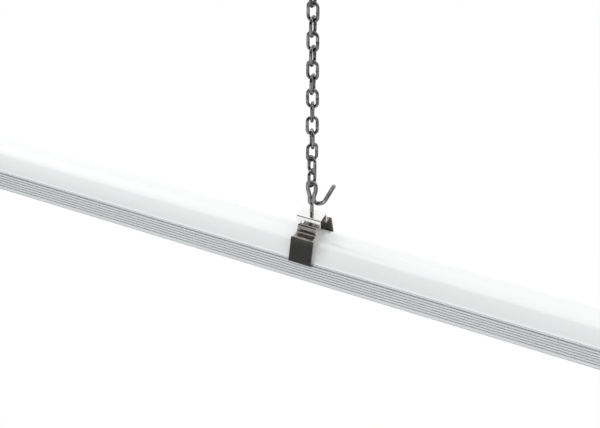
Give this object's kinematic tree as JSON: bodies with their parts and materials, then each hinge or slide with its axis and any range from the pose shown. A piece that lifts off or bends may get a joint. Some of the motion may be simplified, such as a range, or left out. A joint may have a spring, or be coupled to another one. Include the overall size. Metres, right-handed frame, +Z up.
{
  "type": "hanging shop light",
  "caption": "Slim linear shop light: opal half-round cover on a ribbed extruded base, held by spring clips with swivel hooks on welded chains from ceiling screw hooks.",
  "frame": {"origin": "on the ceiling, midway between the two ceiling hooks, in the plane of their collars' top faces", "axes": "+Z up, +X along the light away from the inlet end, +Y across it"},
  "size_m": [1.2, 0.0368, 0.2434],
  "materials": {
    "base_aluminium": "extruded, satin anodised, fine lengthwise lines",
    "opal_cover": "opal diffuser, satin",
    "board_white": "white solder mask",
    "emitter": "pale yellow phosphor in a clear lens",
    "tray_plastic": "natural insulating sheet",
    "board_green": "green solder mask",
    "core_dark": "ferrite core with yellow tape",
    "capacitor": "dark sleeve",
    "choke_copper": "enamelled copper winding",
    "terminal_plastic": "moulded",
    "lead": "insulated wire",
    "inlet_plastic": "moulded",
    "contact_brass": "bright",
    "cap_plastic": "moulded, fine texture",
    "screw_steel": "zinc plated",
    "clip_steel": "bright spring steel, rolled",
    "plate_steel": "bright, polished",
    "collar_steel": "turned",
    "hook_steel": "drawn wire, dark bright",
    "chain_steel": "welded wire links, dark bright",
    "ceiling_steel": "zinc plated"
  },
  "bodies": {
    "ceiling_hooks": {"ceiling_hook_left": "ceiling_steel", "ceiling_hook_right": "ceiling_steel"},
    "top_link_left": {"link_left_14": "chain_steel"},
    "chain_left": {"link_left_1": "chain_steel", "link_left_2": "chain_steel", "link_left_3": "chain_steel", "link_left_4": "chain_steel", "link_left_5": "chain_steel", "link_left_6": "chain_steel", "link_left_7": "chain_steel", "link_left_8": "chain_steel", "link_left_9": "chain_steel", "link_left_10": "chain_steel", "link_left_11": "chain_steel", "link_left_12": "chain_steel", "link_left_13": "chain_steel"},
    "clip_left": {"spring_clip_left": "clip_steel", "hanger_plate_left": "plate_steel", "spacer_collar_left": "collar_steel"},
    "hook_left": {"swivel_hook_left": "hook_steel"},
    "top_link_right": {"link_right_14": "chain_steel"},
    "chain_right": {"link_right_1": "chain_steel", "link_right_2": "chain_steel", "link_right_3": "chain_steel", "link_right_4": "chain_steel", "link_right_5": "chain_steel", "link_right_6": "chain_steel", "link_right_7": "chain_steel", "link_right_8": "chain_steel", "link_right_9": "chain_steel", "link_right_10": "chain_steel", "link_right_11": "chain_steel", "link_right_12": "chain_steel", "link_right_13": "chain_steel"},
    "clip_right": {"spring_clip_right": "clip_steel", "hanger_plate_right": "plate_steel", "spacer_collar_right": "collar_steel"},
    "hook_right": {"swivel_hook_right": "hook_steel"},
    "light": {"base_extrusion": "base_aluminium", "diffuser_cover": "opal_cover", "led_board": "board_white", "led_emitters": "emitter", "driver_tray": "tray_plastic", "driver_board": "board_green", "driver_transformer": "core_dark", "driver_capacitors": "capacitor", "driver_choke": "choke_copper", "driver_terminals": "terminal_plastic", "input_leads": "lead", "output_leads": "lead", "inlet_housing": "inlet_plastic", "inlet_contacts": "contact_brass", "end_cap_left": "cap_plastic", "end_cap_right": "cap_plastic", "cap_screws_left": "screw_steel", "cap_screws_right": "screw_steel"}
  },
  "joints": [
    {"name": "sway_across", "type": "hinge", "parent": "ceiling_hooks", "child": "top_link_right", "pos_m": [0.3, 0, -0.0225], "axis": [1, 0, 0], "range_deg": [-45, 45]},
    {"name": "sway_along", "type": "hinge", "parent": "top_link_right", "child": "chain_right", "pos_m": [0.3, 0, -0.03175], "axis": [0, 1, 0], "range_deg": [-35, 35]},
    {"name": "light_level", "type": "hinge", "parent": "chain_right", "child": "clip_right", "pos_m": [0.3, 0, -0.1585], "axis": [0, 1, 0], "range_deg": [-35, 35]},
    {"name": "hook_swivel_right", "type": "hinge", "parent": "clip_right", "child": "hook_right", "pos_m": [0.3, 0, -0.18055], "axis": [0, 0, 1], "range_deg": [-8, 8]},
    {"name": "light_slide", "type": "slide", "parent": "clip_right", "child": "light", "axis": [1, 0, 0], "range_m": [-0.28, 0.28]},
    {"name": "clip_slide_left", "type": "slide", "parent": "light", "child": "clip_left", "axis": [1, 0, 0], "range_m": [-0.28, 0.28]},
    {"name": "hook_swivel_left", "type": "hinge", "parent": "clip_left", "child": "hook_left", "pos_m": [-0.3, 0, -0.18055], "axis": [0, 0, 1], "range_deg": [-8, 8]},
    {"name": "sway_across_left", "type": "hinge", "parent": "ceiling_hooks", "child": "top_link_left", "pos_m": [-0.3, 0, -0.0225], "axis": [1, 0, 0], "range_deg": [-45, 45]},
    {"name": "sway_along_left", "type": "hinge", "parent": "top_link_left", "child": "chain_left", "pos_m": [-0.3, 0, -0.03175], "axis": [0, 1, 0], "range_deg": [-35, 35]}
  ],
  "couplings": [
    {"joint": "sway_across_left", "follows": "sway_across", "ratio": 1},
    {"joint": "sway_along_left", "follows": "sway_along", "ratio": 1},
    {"joint": "light_level", "follows": "sway_along", "ratio": -1},
    {"joint": "clip_slide_left", "follows": "light_slide", "ratio": -1}
  ]
}
